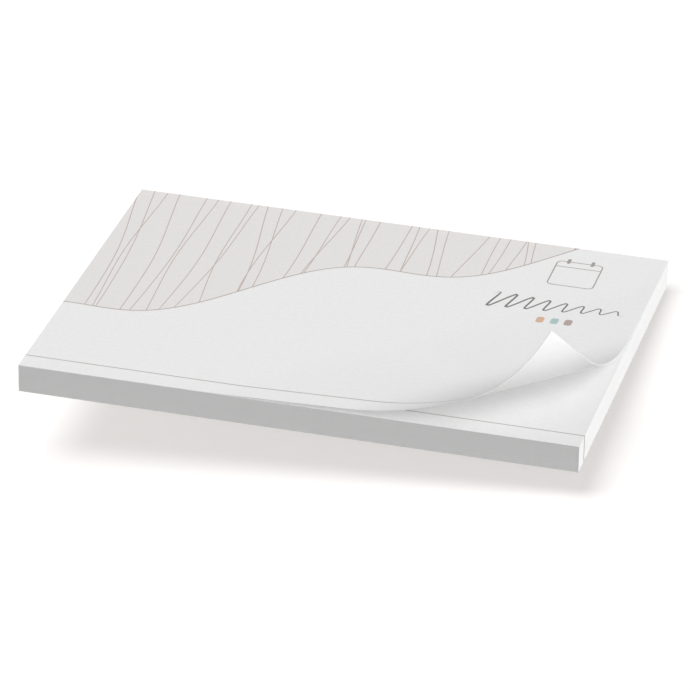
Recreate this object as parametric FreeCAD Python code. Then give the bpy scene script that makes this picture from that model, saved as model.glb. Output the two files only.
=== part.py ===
import FreeCAD, Part
import math
import os

# Pad of self-adhesive notes with the front right corner of its top sheet peeled up and curled back.
# Millimetres. The origin is the middle of the underside, +X runs right along the front edge, +Y runs
# to the glued back edge and +Z is up.

# Cut size of every sheet
PAD_LENGTH = 100.0
PAD_DEPTH = 72.0

# The stack
SHEET_COUNT = 50
PAPER_THICKNESS = 0.1
LINER_THICKNESS = 0.08
ADHESIVE_THICKNESS = 0.02

# Band of adhesive under the top sheet, along the back edge
ADHESIVE_DEPTH = 14.0
ADHESIVE_MARGIN = 1.0

# Curl of the top sheet. Its rulings are straight and parallel. Going across them towards the corner, the
# sheet lifts off, climbs a plain slope, bends up and then rolls over. Radii are to mid-thickness.
RULING_ANGLE = 44.0
LIFT_RADIUS = 45.0
LIFT_TURN = 2.5
SLOPE_LENGTH = 15.0
BEND_RADIUS = 28.0
BEND_TURN = 33.4
ROLL_RADIUS = 9.8
ROLL_TURN = 74.5

half_length = PAD_LENGTH / 2
half_depth = PAD_DEPTH / 2
half_paper = PAPER_THICKNESS / 2
block_height = (SHEET_COUNT - 1) * PAPER_THICKNESS
block_top = LINER_THICKNESS + block_height
top_sheet_underside = block_top + ADHESIVE_THICKNESS

ruling = FreeCAD.Vector(math.cos(math.radians(RULING_ANGLE)), math.sin(math.radians(RULING_ANGLE)), 0)
up = FreeCAD.Vector(0, 0, 1)
towards_corner = ruling.cross(up)


def around(points):
    """Each point of a closed outline with the next."""
    return list(zip(points, points[1:] + points[:1]))


class Strip:
    """One strip of the sheet between two rulings: plain where its radius is zero, else part of a tube."""

    def __init__(self, start, length, foot, slope, radius=0.0):
        self.start = start
        self.end = start + length
        self.foot = foot
        self.slope = slope
        self.radius = radius
        self.forward = towards_corner * math.cos(slope) + up * math.sin(slope)
        self.printed_side = up * math.cos(slope) - towards_corner * math.sin(slope)
        self.turn = length / radius if radius else 0.0

    def head(self):
        """Foot of the next strip: where this one ends, on the line through the corner."""
        if not self.radius:
            return self.foot + self.forward * (self.end - self.start)
        centre = self.foot + self.printed_side * self.radius
        out = self.forward * math.sin(self.turn) - self.printed_side * math.cos(self.turn)
        return centre + out * self.radius

    def laid_plain(self, corners, lift):
        """Edges and face of a flat outline laid on a plain strip."""
        base = self.foot + self.printed_side * lift
        laid = [base + ruling * p.x + self.forward * (p.y - self.start) for p in corners]
        edges = [Part.makeLine(a, b) for a, b in around(laid)]
        return edges, Part.Face(Part.Wire(edges))

    def laid_round(self, corners, lift):
        """Edges and face of a flat outline rolled onto the strip's tube, where straight edges wind round."""
        tube = Part.Cylinder()
        tube.Radius = self.radius - lift
        laid = [FreeCAD.Base.Vector2d((p.y - self.start) / self.radius, -p.x) for p in corners]
        edges = [Part.Geom2d.Line2dSegment(a, b).toShape(tube) for a, b in around(laid)]
        face = Part.Face(tube, Part.Wire(edges))
        axis = self.foot + self.printed_side * self.radius
        out = self.printed_side * -1
        turned = FreeCAD.Rotation(out, self.forward, out.cross(self.forward), "ZXY")
        for shape in edges + [face]:
            shape.Placement = FreeCAD.Placement(axis, turned)
        return edges, face

    def laid(self, corners, lift):
        """Edges and face of a flat outline on this strip, lifted from mid-thickness to the printed side."""
        if self.radius:
            return self.laid_round(corners, lift)
        return self.laid_plain(corners, lift)


def curl_strips():
    """Strips of the top sheet from the flat of the pad to the rolled corner, each tangent to the last."""
    sections = [
        (LIFT_RADIUS * math.radians(LIFT_TURN), LIFT_RADIUS),
        (SLOPE_LENGTH, 0.0),
        (BEND_RADIUS * math.radians(BEND_TURN), BEND_RADIUS),
        (ROLL_RADIUS * math.radians(ROLL_TURN), ROLL_RADIUS),
    ]
    corner = FreeCAD.Vector(half_length, -half_depth, top_sheet_underside + half_paper)
    reach = sum(length for length, radius in sections)
    flat_length = PAD_LENGTH + PAD_DEPTH
    foot = corner - towards_corner * (reach + flat_length)
    strips = [Strip(0.0, flat_length, foot, 0.0)]
    for length, radius in sections:
        last = strips[-1]
        strips.append(Strip(last.end, length, last.head(), last.slope + last.turn, radius))
    return strips


def flat_outline(corner_across):
    """Outline of the sheet before it is bent: X along the rulings, Y across them, up to the corner's."""
    corner = FreeCAD.Vector(half_length, -half_depth, 0)
    points = []
    for x, y in ((-half_length, -half_depth), (half_length, -half_depth),
                 (half_length, half_depth), (-half_length, half_depth)):
        away = FreeCAD.Vector(x, y, 0) - corner
        points.append(FreeCAD.Vector(away.dot(ruling), corner_across + away.dot(towards_corner), 0))
    return Part.Face(Part.makePolygon(points + points[:1]))


def make_top_sheet():
    """The curled sheet: its flat outline is cut into strips, and both of its faces are laid on them."""
    strips = curl_strips()
    outline = flat_outline(strips[-1].end)
    width = 2 * (PAD_LENGTH + PAD_DEPTH)
    faces = []
    for strip in strips:
        length = strip.end - strip.start
        if strip is strips[-1]:
            length += PAPER_THICKNESS
        window = Part.makePlane(width, length, FreeCAD.Vector(-width / 2, strip.start, 0))
        corners = [vertex.Point for vertex in outline.common(window).Faces[0].OuterWire.OrderedVertexes]
        upper_edges, upper = strip.laid(corners, half_paper)
        lower_edges, lower = strip.laid(corners, -half_paper)
        faces += [upper, lower]
        for (a, b), over, under in zip(around(corners), upper_edges, lower_edges):
            on_a_ruling = abs(a.y - b.y) < PAPER_THICKNESS
            if not on_a_ruling:
                faces.append(Part.makeRuledSurface(over, under))
    skin = Part.makeCompound(faces)
    skin.sewShape()
    return Part.Solid(Part.Shell(skin.Faces))


def make_layer(bottom, thickness, front=-half_depth, back=half_depth):
    """A flat layer of the stack, over its full length."""
    return Part.makeBox(PAD_LENGTH, back - front, thickness, FreeCAD.Vector(-half_length, front, bottom))


band_back = half_depth - ADHESIVE_MARGIN
nodes = {
    "backing_sheet": make_layer(0.0, LINER_THICKNESS),
    "sheet_block": make_layer(LINER_THICKNESS, block_height),
    "adhesive_strip": make_layer(block_top, ADHESIVE_THICKNESS, band_back - ADHESIVE_DEPTH, band_back),
    "top_sheet": make_top_sheet(),
}

os.makedirs("parts", exist_ok=True)
for name, shape in nodes.items():
    shape.exportStep("parts/" + name + ".step")
    box = shape.BoundBox
    print(name, "valid", shape.isValid(), "volume %.3f" % shape.Volume, "top %.3f" % box.ZMax)
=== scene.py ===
import math
import random

import bmesh
import bpy
from mathutils import Matrix, Vector


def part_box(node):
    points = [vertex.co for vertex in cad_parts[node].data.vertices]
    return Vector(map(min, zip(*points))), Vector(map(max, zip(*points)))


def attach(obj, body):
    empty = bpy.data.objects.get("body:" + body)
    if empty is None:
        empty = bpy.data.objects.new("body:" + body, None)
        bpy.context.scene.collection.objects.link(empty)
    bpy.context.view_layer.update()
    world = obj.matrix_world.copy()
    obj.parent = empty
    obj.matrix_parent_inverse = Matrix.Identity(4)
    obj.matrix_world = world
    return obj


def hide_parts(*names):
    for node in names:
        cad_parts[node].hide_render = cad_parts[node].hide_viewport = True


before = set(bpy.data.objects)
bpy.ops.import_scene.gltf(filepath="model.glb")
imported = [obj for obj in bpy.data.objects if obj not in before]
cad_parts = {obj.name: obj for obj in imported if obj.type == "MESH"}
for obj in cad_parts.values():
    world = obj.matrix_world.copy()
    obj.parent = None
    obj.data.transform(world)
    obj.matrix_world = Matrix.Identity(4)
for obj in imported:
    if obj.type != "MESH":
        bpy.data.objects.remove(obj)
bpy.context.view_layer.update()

# Finishes of a pad of self-adhesive notes, in metres. The curled top sheet and the stack below it are new
# pieces, and the liner and the adhesive band keep their shapes.
MM = 0.001

# Stack of sheets, from the frame
stack_low, stack_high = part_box("sheet_block")
band_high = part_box("adhesive_strip")[1]
LENGTH = stack_high.x - stack_low.x
DEPTH = stack_high.y - stack_low.y
SHEETS_IN_STACK = 49
PAPER = (stack_high.z - stack_low.z) / SHEETS_IN_STACK

# Curl of the top sheet, with parallel rulings: a short lift, a plain slope, a bend and a tighter roll.
# Each has its radius and turn, or None and its length. One strip of a bend turns by the strip turn at
# most, and edges past the sharp angle stay sharp.
RULING_ANGLE = math.radians(44.0)
RULING = Vector((math.cos(RULING_ANGLE), math.sin(RULING_ANGLE), 0))
TO_CORNER = Vector((math.sin(RULING_ANGLE), -math.cos(RULING_ANGLE), 0))
CORNER = Vector((LENGTH / 2, -DEPTH / 2, 0))
UP = Vector((0, 0, 1))
CURL_SECTIONS = (
    (45.0 * MM, math.radians(2.5)),
    (None, 15.0 * MM),
    (28.0 * MM, math.radians(33.4)),
    (9.8 * MM, math.radians(74.5)),
)
STRIP_TURN = math.radians(1.5)
SHARP_ANGLE = math.radians(60.0)

# Trimmed sides of the stack. A groove takes a share of the thickness of the sheets above and below it. A
# face is the printed top where its normal's upright part is past the top normal.
TRIM_SPREAD = 0.010 * MM
TRIM_SEED = 5
GROOVE_DEPTH = 0.008 * MM
GROOVE_SHARE = 0.15
TOP_NORMAL = 0.99

# Colours, linear
PRINTED_PAPER = (0.800, 0.800, 0.800)
# The unprinted side is lighter than the printed paper: partly the paper's own colour, partly painted light
# on the curl's underside.
RAW_PAPER_AND_PAINTED_LIGHT = (0.905, 0.905, 0.900)
CUT_PAPER = (0.778, 0.778, 0.775)
PANEL_TINT = (0.742, 0.728, 0.718)
HAIRLINE_INK = (0.520, 0.420, 0.395)
WAVE_INK = (0.400, 0.335, 0.310)
RULE_INK = (0.360, 0.315, 0.290)
DATE_BOX_INK = (0.360, 0.320, 0.300)
FLOURISH_INK = (0.190, 0.180, 0.175)
TAN = (0.640, 0.430, 0.300)
TEAL = (0.400, 0.540, 0.520)
BROWN = (0.430, 0.350, 0.320)
LINER = (0.800, 0.785, 0.730)
ADHESIVE = (0.780, 0.765, 0.700)

# Print, in millimetres on the flat sheet, from its middle. Each family of hairlines has its own seed. The
# date box's header line and rings are placed from the middle of the box.
RULE_Y = -32.0
RULE_WIDTH = 0.21
RULE_WIDTH_ON_SIDES = 0.55
WAVE_MIDDLE = 14.8
WAVE_SLOPE = 0.573
WAVE_RISE = 5.0
WAVE_LENGTH = 50.0
WAVE_START = -20.0
WAVE_LINE_WIDTH = 0.24
HAIRLINE_WIDTH = 0.18
HAIRLINE_PITCH = 8.1
HAIRLINE_FAMILIES = (3.1, 21.45, 47.8)
HAIRLINE_SPREAD = 2.2
HAIRLINE_LEAN = 0.22
HAIRLINE_MIDDLE = 14.0
HAIRLINE_SWAY = 7.0
HAIRLINE_SWAY_PLACE = (90.0, 50.0)
DATE_BOX_CENTRE = (35.0, 25.6)
DATE_BOX_HALF = (4.2, 4.7)
DATE_BOX_CORNER = 0.9
DATE_BOX_LINE = 0.24
HEADER_LINE_RISE = 2.6
HEADER_LINE_HALF = (DATE_BOX_HALF[0], 0.11)
HEADER_LINE_CORNER = 0.02
RING_PLACES = ((-2.2, 4.9), (2.2, 4.9))
RING_HALF = (0.32, 0.95)
RING_CORNER = 0.3
FLOURISH_START, FLOURISH_END = 21.5, 47.5
FLOURISH_Y = 12.4
FLOURISH_SLANT = 0.45
FLOURISH_RISE = (2.9, 0.7)
FLOURISH_WAVES = 8.0
FLOURISH_WIDTH = (0.46, 0.26)
FLOURISH_TAPER = 6.0
MARK_Y = 6.7
MARK_HALF = (0.70, 1.15)
MARK_CORNER = 0.525
MARK_CENTRES = (33.0, 35.6, 38.1)
SOFT_EDGE = 0.05

# Paper grain, with scales in cells per metre, and the trimmed sheets' print and tone
CLOUD_SCALE = 1300.0
FIBRE_SCALE = 5200.0
GRAIN_DETAIL = 4.0
NOISE_ROUGHNESS = 0.65
FIBRE_HEIGHT = 0.02 * MM
BLEED = 0.7
SHEET_TONE_SPREAD = 0.02

# Camera
CAMERA_PLACE = Vector((0.202740, -0.765838, 0.420581))
CAMERA_AZIMUTH = math.radians(14.891)
CAMERA_ELEVATION = math.radians(28.053)
CAMERA_ROLL = math.radians(0.930)
FOCAL_PIXELS = 5037.57
PHOTO_PIXELS = 690
SENSOR_MM = 36.0

# Light. Each lamp has its name, azimuth from the right towards the back, elevation, strength on a surface
# that faces it, and spread, with angles in degrees. The photo's shadow falls to the right of a pad that is
# lit from the right, so the floor has its own lamp.
LAMPS = (
    ("right key", 0, 38, 0.75, 45),
    ("front right light", -50, 42, 0.37, 40),
    ("back left light", 135, 50, 0.225, 35),
)
FLOOR_LAMP = ("floor lamp", 208, 65, 0.98, 42)
WORLD_STRENGTH = 0.12

# Floor. In the photo the shadow lies furthest below the pad at the front left, so the floor slopes. The
# gaps are those below the front left, front right and back right corners. The camera sees a darker floor
# that glows, which leaves the shadow pale.
FLOOR_GAPS = (14.0 * MM, 5.0 * MM, 0.8 * MM)
FLOOR_REACH = 0.5
FLOOR_SHADE = 0.55
FLOOR_SEEN_SHADE = 0.38
FLOOR_GLOW = 0.66
FLOOR_GLOW_TINT = (1.0, 0.970, 0.956)

# Thin paper: the share of light that passes each of its faces, and the glow of its unprinted side
LIGHT_THROUGH_FACE = 0.64
GLOW_THROUGH = 0.9
GLOW_REACH = 0.20 * MM


class Number:
    """A number that varies over a surface. Arithmetic on it adds Math nodes to its tree."""

    def __init__(self, tree, socket):
        self.tree = tree
        self.socket = socket

    def math(self, operation, *others):
        made = self.tree.nodes.new("ShaderNodeMath")
        made.operation = operation
        for socket, value in zip(made.inputs, (self, *others)):
            feed(self.tree, socket, value)
        return Number(self.tree, made.outputs[0])

    def __add__(self, other):
        return self.math("ADD", other)

    def __sub__(self, other):
        return self.math("SUBTRACT", other)

    def __mul__(self, other):
        return self.math("MULTIPLY", other)

    def __truediv__(self, other):
        return self.math("DIVIDE", other)

    def __abs__(self):
        return self.math("ABSOLUTE")

    def clamped(self):
        return self.math("MAXIMUM", 0.0).math("MINIMUM", 1.0)


def feed(tree, socket, value):
    """Sets a socket to a plain value, or links it to a Number or an output."""
    if isinstance(value, Number):
        value = value.socket
    if isinstance(value, bpy.types.NodeSocket):
        tree.links.new(value, socket)
    else:
        socket.default_value = value


def add_node(tree, kind, inputs=None, **settings):
    """A node of a tree with its settings and inputs."""
    made = tree.nodes.new(kind)
    for name, value in settings.items():
        setattr(made, name, value)
    for name, value in (inputs or {}).items():
        feed(tree, made.inputs[name], value)
    return made


def new_group(name, inputs, outputs):
    """A shader node group, with its tree and its input and output nodes."""
    tree = bpy.data.node_groups.new(name, "ShaderNodeTree")
    for label, kind in inputs:
        tree.interface.new_socket(label, in_out="INPUT", socket_type="NodeSocket" + kind)
    for label, kind in outputs:
        tree.interface.new_socket(label, in_out="OUTPUT", socket_type="NodeSocket" + kind)
    return tree, tree.nodes.new("NodeGroupInput"), tree.nodes.new("NodeGroupOutput")


def noise(tree, place, scale, detail):
    """Cloudy noise about one half."""
    inputs = {"Vector": place, "Scale": scale, "Detail": detail, "Roughness": NOISE_ROUGHNESS}
    return Number(tree, add_node(tree, "ShaderNodeTexNoise", inputs).outputs["Fac"])


def split_mm(tree, place):
    """X and Y of a place given in metres, as Numbers in millimetres."""
    parts = add_node(tree, "ShaderNodeSeparateXYZ", {"Vector": place})
    return [Number(tree, parts.outputs[axis]) * (1 / MM) for axis in ("X", "Y")]


def stroke(distance, width):
    """Ink cover of a line: one within half its width, with a slightly soft edge."""
    return ((abs(distance) * -1.0 + width / 2) / SOFT_EDGE + 0.5).clamped()


def filled(distance):
    """Ink cover of a shape, from the distance to its outline, which is negative inside."""
    return (distance * (-1.0 / SOFT_EDGE) + 0.5).clamped()


def blended(tree, first, second, share):
    """A colour between two others, with the second's share."""
    mix = add_node(tree, "ShaderNodeMix", data_type="RGBA")
    by_name = {socket.identifier: socket for socket in mix.inputs}
    feed(tree, by_name["Factor_Float"], share)
    feed(tree, by_name["A_Color"], first)
    feed(tree, by_name["B_Color"], second)
    return next(socket for socket in mix.outputs if socket.identifier == "Result_Color")


def inked(tree, under, ink, cover):
    """The colour under, printed with ink where cover is one."""
    return blended(tree, under, (*ink, 1.0), cover)


def toned(tree, colour, tone):
    """A colour made darker or lighter by a tone about one."""
    scaled = add_node(tree, "ShaderNodeVectorMath", {"Scale": tone}, operation="SCALE")
    feed(tree, scaled.inputs[0], colour)
    return scaled.outputs[0]


def rounded_box(x, y, centre, half, radius):
    """Distance to the outline of a box with rounded corners."""
    across = abs(x - centre[0]) - (half[0] - radius)
    along = abs(y - centre[1]) - (half[1] - radius)
    outside_x, outside_y = across.math("MAXIMUM", 0.0), along.math("MAXIMUM", 0.0)
    outside = (outside_x * outside_x + outside_y * outside_y).math("SQRT")
    inside = across.math("MAXIMUM", along).math("MINIMUM", 0.0)
    return outside + inside - radius


def swaying_lines(tree, x, y, seed):
    """Distance to the nearest hairline of a family, which sways as one. Each has its own place and lean."""
    spot = add_node(tree, "ShaderNodeCombineXYZ")
    feed(tree, spot.inputs["X"], x / HAIRLINE_SWAY_PLACE[0] + seed)
    feed(tree, spot.inputs["Y"], y / HAIRLINE_SWAY_PLACE[1])
    drift = noise(tree, spot.outputs["Vector"], scale=1.0, detail=0.0)
    across = x + (drift - 0.5) * HAIRLINE_SWAY
    turn = across / HAIRLINE_PITCH + seed
    cell = turn.math("FLOOR")
    chance = add_node(tree, "ShaderNodeTexWhiteNoise", {"W": cell + seed}, noise_dimensions="1D")
    own = add_node(tree, "ShaderNodeSeparateColor", {"Color": chance.outputs["Color"]})
    place = (Number(tree, own.outputs["Red"]) - 0.5) * HAIRLINE_SPREAD
    lean = (Number(tree, own.outputs["Green"]) - 0.5) * HAIRLINE_LEAN * (y - HAIRLINE_MIDDLE)
    return (turn - cell - 0.5) * HAIRLINE_PITCH - place - lean


def flourish(x, y):
    """Ink cover of a slanted scribble that tapers along a line."""
    length = FLOURISH_END - FLOURISH_START
    share = ((x - y * FLOURISH_SLANT - FLOURISH_START) / length).clamped()
    phase = share * (FLOURISH_WAVES * 2 * math.pi)
    rise = share * (FLOURISH_RISE[1] - FLOURISH_RISE[0]) + FLOURISH_RISE[0]
    climb = phase.math("COSINE") * rise * (FLOURISH_WAVES * 2 * math.pi / length)
    across = climb * FLOURISH_SLANT + 1.0
    distance = (y - phase.math("SINE") * rise) / (climb * climb + across * across).math("SQRT")
    width = share * (FLOURISH_WIDTH[1] - FLOURISH_WIDTH[0]) + FLOURISH_WIDTH[0]
    taper = ((share * math.pi).math("SINE") * FLOURISH_TAPER).clamped()
    return stroke(distance, width * taper) * taper


def date_box(x, y):
    """Ink covers of a plain calendar sheet: its frame, its header line and its two rings."""
    box_x, box_y = DATE_BOX_CENTRE
    frame_line = rounded_box(x, y, DATE_BOX_CENTRE, DATE_BOX_HALF, DATE_BOX_CORNER)
    header = rounded_box(x, y, (box_x, box_y + HEADER_LINE_RISE), HEADER_LINE_HALF, HEADER_LINE_CORNER)
    covers = [stroke(frame_line, DATE_BOX_LINE), filled(header)]
    for ring_x, ring_y in RING_PLACES:
        ring = rounded_box(x, y, (box_x + ring_x, box_y + ring_y), RING_HALF, RING_CORNER)
        covers.append(filled(ring))
    return covers


def print_group():
    """The notes' print: a pale panel of hairlines above a wave, a front rule and marks at the right."""
    inputs = [("Flat place", "Vector"), ("Paper", "Color")]
    tree, given, result = new_group("note print", inputs, [("Color", "Color")])
    x, y = split_mm(tree, given.outputs["Flat place"])
    phase = (x - WAVE_START) * (2 * math.pi / WAVE_LENGTH)
    height = y - (x * WAVE_SLOPE + WAVE_MIDDLE + phase.math("SINE") * WAVE_RISE)
    steepness = phase.math("COSINE") * (WAVE_RISE * 2 * math.pi / WAVE_LENGTH) + WAVE_SLOPE
    from_wave = height / (steepness * steepness + 1.0).math("SQRT")
    panel = filled(from_wave * -1.0)
    colour = inked(tree, given.outputs["Paper"], PANEL_TINT, panel)
    for seed in HAIRLINE_FAMILIES:
        lines = stroke(swaying_lines(tree, x, y, seed), HAIRLINE_WIDTH)
        colour = inked(tree, colour, HAIRLINE_INK, lines * panel)
    colour = inked(tree, colour, WAVE_INK, stroke(from_wave, WAVE_LINE_WIDTH))
    colour = inked(tree, colour, RULE_INK, stroke(y - RULE_Y, RULE_WIDTH))
    for cover in date_box(x, y):
        colour = inked(tree, colour, DATE_BOX_INK, cover)
    colour = inked(tree, colour, FLOURISH_INK, flourish(x, y - FLOURISH_Y))
    for centre, ink in zip(MARK_CENTRES, (TAN, TEAL, BROWN)):
        mark = rounded_box(x, y, (centre, MARK_Y), MARK_HALF, MARK_CORNER)
        colour = inked(tree, colour, ink, filled(mark))
    tree.links.new(colour, result.inputs["Color"])
    return tree


def grain_group():
    """Paper fibre: a faint cloudy tone and a fine height."""
    inputs = [("Place", "Vector"), ("Tone depth", "Float")]
    tree, given, result = new_group("paper grain", inputs, [("Tone", "Float"), ("Height", "Float")])
    cloud = noise(tree, given.outputs["Place"], CLOUD_SCALE, GRAIN_DETAIL)
    fibre = noise(tree, given.outputs["Place"], FIBRE_SCALE, GRAIN_DETAIL)
    tone = (cloud - 0.5) * Number(tree, given.outputs["Tone depth"]) + 1.0
    tree.links.new(tone.socket, result.inputs["Tone"])
    tree.links.new(fibre.socket, result.inputs["Height"])
    return tree


PRINT = print_group()
GRAIN = grain_group()


def new_material(name, roughness, specular=0.25):
    """A material with its tree and its Principled shader."""
    material = bpy.data.materials.new(name)
    material.use_nodes = True
    shader = material.node_tree.nodes["Principled BSDF"]
    shader.inputs["Roughness"].default_value = roughness
    shader.inputs["Specular IOR Level"].default_value = specular
    return material, material.node_tree, shader


def object_place(tree):
    """Place on the object."""
    return add_node(tree, "ShaderNodeTexCoord").outputs["Object"]


def printed_on(tree, place, paper):
    """The print's colour at a place, on paper of a colour."""
    inputs = {"Flat place": place, "Paper": (*paper, 1.0)}
    return add_node(tree, "ShaderNodeGroup", inputs, node_tree=PRINT).outputs["Color"]


def add_grain(tree, shader, place, colour, tone_depth, bump):
    """Paper grain on a shader: colour varied in tone, and a fine bump."""
    grain = add_node(tree, "ShaderNodeGroup", {"Place": place, "Tone depth": tone_depth}, node_tree=GRAIN)
    tree.links.new(toned(tree, colour, grain.outputs["Tone"]), shader.inputs["Base Color"])
    height = {"Strength": bump, "Distance": FIBRE_HEIGHT, "Height": grain.outputs["Height"]}
    relief = add_node(tree, "ShaderNodeBump", height)
    tree.links.new(relief.outputs["Normal"], shader.inputs["Normal"])


def let_light_through(material):
    """Thin paper: opaque to the camera, while a share of the light passes through each of its faces."""
    tree = material.node_tree
    path = add_node(tree, "ShaderNodeLightPath")
    other_light = Number(tree, path.outputs["Is Shadow Ray"]) + Number(tree, path.outputs["Is Diffuse Ray"])
    clear = add_node(tree, "ShaderNodeBsdfTransparent")
    mix = add_node(tree, "ShaderNodeMixShader", {"Fac": other_light * LIGHT_THROUGH_FACE})
    tree.links.new(tree.nodes["Principled BSDF"].outputs["BSDF"], mix.inputs[1])
    tree.links.new(clear.outputs["BSDF"], mix.inputs[2])
    tree.links.new(mix.outputs["Shader"], tree.nodes["Material Output"].inputs["Surface"])


def printed_material(name, curled_sheet=False):
    """Paper with the print, laid out on the object's place or, on the curled sheet, on its flat place."""
    material, tree, shader = new_material(name, roughness=0.8)
    if curled_sheet:
        place = add_node(tree, "ShaderNodeAttribute", attribute_name="flat_place").outputs["Vector"]
        let_light_through(material)
    else:
        place = object_place(tree)
    add_grain(tree, shader, place, printed_on(tree, place, PRINTED_PAPER), tone_depth=0.12, bump=0.45)
    return material


def plain_material(name, colour, roughness, tone_depth=0.08, bump=0.35, thin=False):
    """Unprinted paper or film in one colour, with grain. A thin sheet glows with light from behind it."""
    material, tree, shader = new_material(name, roughness)
    add_grain(tree, shader, object_place(tree), colour, tone_depth, bump)
    if thin:
        let_light_through(material)
        shader.inputs["Subsurface Weight"].default_value = GLOW_THROUGH
        shader.inputs["Subsurface Radius"].default_value = (1, 1, 1)
        shader.inputs["Subsurface Scale"].default_value = GLOW_REACH
    return material


def cut_edge_material():
    """Trimmed sides of the stack: sheets that differ a little in tone, and print that bleeds off them.

    Each sheet is printed a little off the last, so the rule is wider there.
    """
    material, tree, shader = new_material("cut paper edges", roughness=0.9)
    place = object_place(tree)
    bled = blended(tree, (*CUT_PAPER, 1.0), printed_on(tree, place, CUT_PAPER), BLEED)
    rule = split_mm(tree, place)[1] - RULE_Y
    bled = inked(tree, bled, RULE_INK, stroke(rule, RULE_WIDTH_ON_SIDES))
    parts = add_node(tree, "ShaderNodeSeparateXYZ", {"Vector": place})
    sheet = ((Number(tree, parts.outputs["Z"]) - stack_low.z) / PAPER).math("FLOOR")
    chance = add_node(tree, "ShaderNodeTexWhiteNoise", {"W": sheet}, noise_dimensions="1D")
    tone = Number(tree, chance.outputs["Value"]) * SHEET_TONE_SPREAD + (1 - SHEET_TONE_SPREAD / 2)
    add_grain(tree, shader, place, toned(tree, bled, tone), tone_depth=0.04, bump=0.5)
    return material


SHEET_PRINT = printed_material("printed sheet", curled_sheet=True)
STACK_PRINT = printed_material("printed stack top")
# The curled sheet's unprinted underside, whose lighter colour is partly painted light on the curl.
PLAIN_PAPER_AND_PAINTED_LIGHT = plain_material("plain paper and painted light", RAW_PAPER_AND_PAINTED_LIGHT, roughness=0.85, thin=True)
CUT_EDGES = cut_edge_material()


def section_length(radius, amount):
    """Length of paper in a section of the curl, an arc unless it has no radius."""
    return amount if radius is None else radius * amount


REACH = sum(section_length(*section) for section in CURL_SECTIONS)


def curl_profile(across):
    """Place and slope on the curl of a point of the flat sheet, across the rulings from the first one."""
    forward, height, slope = min(across, 0.0), 0.0, 0.0
    left = max(across, 0.0)
    for radius, amount in CURL_SECTIONS:
        run = min(left, section_length(radius, amount))
        if radius is None:
            forward += run * math.cos(slope)
            height += run * math.sin(slope)
        else:
            turned = slope + run / radius
            forward += radius * (math.sin(turned) - math.sin(slope))
            height += radius * (math.cos(slope) - math.cos(turned))
            slope = turned
        left -= run
    return forward, height, slope


def curled(co):
    """A point of a flat slab, with its Z counted from mid-thickness, on the curled sheet."""
    away = co - CORNER
    forward, height, slope = curl_profile(REACH + away.dot(TO_CORNER))
    forward -= REACH + co.z * math.sin(slope)
    flat = CORNER + RULING * away.dot(RULING) + TO_CORNER * forward
    return Vector((flat.x, flat.y, band_high.z + PAPER / 2 + height + co.z * math.cos(slope)))


def ruling_places():
    """Distances of the strips' rulings from the first one, close together where the sheet bends."""
    start = 0.0
    places = []
    for radius, amount in CURL_SECTIONS:
        length = section_length(radius, amount)
        strips = 1 if radius is None else math.ceil(amount / STRIP_TURN)
        places += [start + length * strip / strips for strip in range(strips)]
        start += length
    return places


def finish_piece(bm, name, materials):
    """Makes a piece of a bmesh, on the root body, with its materials."""
    mesh = bpy.data.meshes.new(name)
    bm.to_mesh(mesh)
    bm.free()
    for material in materials:
        mesh.materials.append(material)
    piece = bpy.data.objects.new(name, mesh)
    bpy.context.scene.collection.objects.link(piece)
    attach(piece, "root")
    return piece


def cut_across(bm, point, normal):
    """Cuts a mesh along a plane and keeps both sides."""
    parts = bm.verts[:] + bm.edges[:] + bm.faces[:]
    bmesh.ops.bisect_plane(bm, geom=parts, plane_co=point, plane_no=normal)


def note_sheet():
    """The top sheet: a slab as thin as paper, cut into strips along its rulings and curled."""
    bm = bmesh.new()
    bmesh.ops.create_cube(bm, size=1.0, matrix=Matrix.Diagonal((LENGTH, DEPTH, PAPER, 1.0)))
    for place in ruling_places():
        cut_across(bm, CORNER + TO_CORNER * (place - REACH), TO_CORNER)
    bmesh.ops.recalc_face_normals(bm, faces=bm.faces)
    flat_place = bm.verts.layers.float_vector.new("flat_place")
    for face in bm.faces:
        side = round(face.normal.z)
        face.material_index = 1 if side < 0 else 0
        face.smooth = side != 0
    for edge in bm.edges:
        edge.smooth = edge.calc_face_angle(0.0) < SHARP_ANGLE
    for vert in bm.verts:
        vert[flat_place] = vert.co
        vert.co = curled(vert.co)
    piece = finish_piece(bm, "note_sheet", (SHEET_PRINT, PLAIN_PAPER_AND_PAINTED_LIGHT))
    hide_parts("top_sheet")


def stack_levels():
    """Heights up the stack with how far the sides lie inside full size: a rim and a groove per sheet."""
    chance = random.Random(TRIM_SEED)
    levels = []
    for sheet in range(SHEETS_IN_STACK):
        foot = stack_low.z + sheet * PAPER
        trim = chance.uniform(0, TRIM_SPREAD)
        levels.append((foot, trim + (GROOVE_DEPTH if sheet else 0.0)))
        levels.append((foot + PAPER * GROOVE_SHARE, trim))
        levels.append((foot + PAPER * (1 - GROOVE_SHARE), trim))
    return levels + [(stack_high.z, 0.0)]


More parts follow.
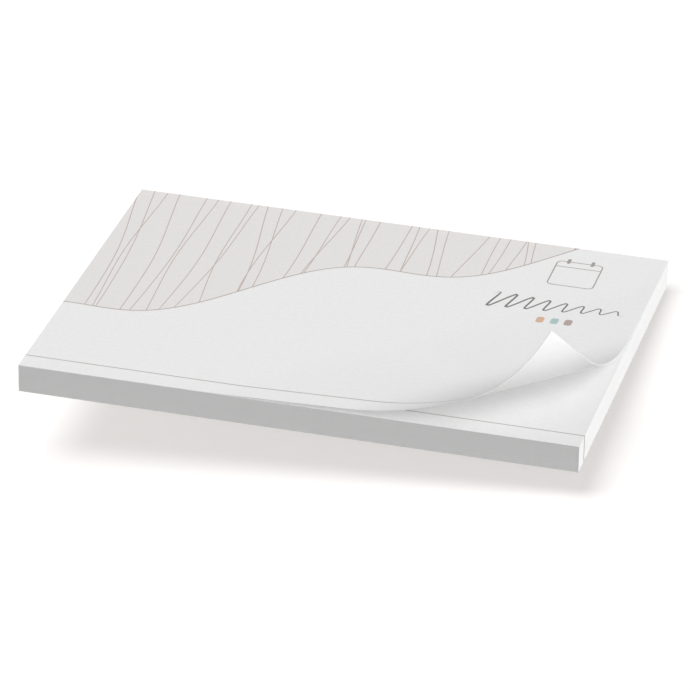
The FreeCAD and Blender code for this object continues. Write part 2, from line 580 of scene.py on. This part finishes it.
def sheet_stack():
    """The sheets below as one stack: a block cut level at every sheet, with unevenly trimmed sides."""
    bm = bmesh.new()
    middle = Matrix.Translation((stack_low + stack_high) / 2)
    bmesh.ops.create_cube(bm, size=1.0, matrix=middle @ Matrix.Diagonal((*(stack_high - stack_low), 1.0)))
    levels = stack_levels()
    for height, inset in levels[1:-1]:
        cut_across(bm, Vector((0, 0, height)), UP)
    for vert in bm.verts:
        height, inset = min(levels, key=lambda level: abs(level[0] - vert.co.z))
        vert.co.x = math.copysign(LENGTH / 2 - inset, vert.co.x)
        vert.co.y = math.copysign(DEPTH / 2 - inset, vert.co.y)
    bmesh.ops.recalc_face_normals(bm, faces=bm.faces)
    for face in bm.faces:
        face.material_index = 0 if face.normal.z > TOP_NORMAL else 1
    piece = finish_piece(bm, "sheet_stack", (STACK_PRINT, CUT_EDGES))
    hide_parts("sheet_block")


def dress_cad_node(name, material):
    """Gives a CAD node its finish."""
    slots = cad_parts[name].data.materials
    slots.clear()
    slots.append(material)


def seen_directly(tree):
    """One where the camera sees a surface, also by reflection or through glass, else zero."""
    path = add_node(tree, "ShaderNodeLightPath")
    kinds = ("Is Camera Ray", "Is Glossy Ray", "Is Transmission Ray")
    camera, glossy, transmission = (Number(tree, path.outputs[kind]) for kind in kinds)
    return (camera + glossy + transmission).clamped()


def make_floor():
    """A plain pale floor that shows white to the camera and keeps the shadow, a little warm."""
    front_left, front_right, back_right = FLOOR_GAPS
    rise = Vector(((front_left - front_right) / LENGTH, (front_right - back_right) / DEPTH))
    slope = UP.rotation_difference(Vector((-rise.x, -rise.y, 1))).to_matrix().to_4x4()
    level = Matrix.Translation(UP * -(front_left + back_right) / 2)
    bm = bmesh.new()
    bmesh.ops.create_grid(bm, x_segments=1, y_segments=1, size=FLOOR_REACH, matrix=level @ slope)
    mesh = bpy.data.meshes.new("floor")
    bm.to_mesh(mesh)
    bm.free()
    material, tree, shader = new_material("floor", roughness=0.9, specular=0.0)
    seen = seen_directly(tree)
    tone = seen * (FLOOR_SEEN_SHADE - FLOOR_SHADE) + FLOOR_SHADE
    tree.links.new(tone.socket, shader.inputs["Base Color"])
    shader.inputs["Emission Color"].default_value = (*FLOOR_GLOW_TINT, 1.0)
    tree.links.new((seen * FLOOR_GLOW).socket, shader.inputs["Emission Strength"])
    mesh.materials.append(material)
    floor = bpy.data.objects.new("floor", mesh)
    bpy.context.scene.collection.objects.link(floor)
    return floor


def make_lamp(name, azimuth, elevation, strength, spread, floor, on_floor):
    """A soft lamp that lights the floor only, or all but the floor."""
    sun = bpy.data.lights.new(name, "SUN")
    sun.energy = strength * math.pi
    sun.angle = math.radians(spread)
    lamp = bpy.data.objects.new(name, sun)
    lamp.rotation_euler = (0, math.radians(90 - elevation), math.radians(azimuth))
    bpy.context.scene.collection.objects.link(lamp)
    linked = bpy.data.collections.new(name + " reach")
    linked.objects.link(floor)
    linked.collection_objects[0].light_linking.link_state = "INCLUDE" if on_floor else "EXCLUDE"
    lamp.light_linking.receiver_collection = linked


def make_light(floor):
    """Three wide soft lamps on the pad, the key from the right, one on the floor, and a faint even fill."""
    for lamp in LAMPS:
        make_lamp(*lamp, floor, on_floor=False)
    make_lamp(*FLOOR_LAMP, floor, on_floor=True)
    world = bpy.data.worlds.new("studio")
    world.use_nodes = True
    bpy.context.scene.world = world
    tree = world.node_tree
    background = tree.nodes["Background"]
    background.inputs["Color"].default_value = (1, 1, 1, 1)
    strength = seen_directly(tree) * (1.0 - WORLD_STRENGTH) + WORLD_STRENGTH
    tree.links.new(strength.socket, background.inputs["Strength"])


def make_camera():
    """The camera at the photo's place and angle."""
    data = bpy.data.cameras.new("camera")
    data.sensor_width = SENSOR_MM
    data.lens = FOCAL_PIXELS / PHOTO_PIXELS * SENSOR_MM
    camera = bpy.data.objects.new("camera", data)
    back = Vector((
        math.sin(CAMERA_AZIMUTH) * math.cos(CAMERA_ELEVATION),
        -math.cos(CAMERA_AZIMUTH) * math.cos(CAMERA_ELEVATION),
        math.sin(CAMERA_ELEVATION),
    ))
    level = UP.cross(back).normalized()
    right = level * math.cos(CAMERA_ROLL) + back.cross(level) * math.sin(CAMERA_ROLL)
    turned = Matrix((right, back.cross(right), back)).transposed().to_4x4()
    camera.matrix_world = Matrix.Translation(CAMERA_PLACE) @ turned
    bpy.context.scene.collection.objects.link(camera)
    bpy.context.scene.camera = camera


note_sheet()
sheet_stack()
dress_cad_node("backing_sheet", plain_material("release liner", LINER, roughness=0.5))
dress_cad_node("adhesive_strip", plain_material("low-tack adhesive", ADHESIVE, roughness=0.35, bump=0.8))
make_light(make_floor())
make_camera()
bpy.context.scene.view_settings.view_transform = "Standard"
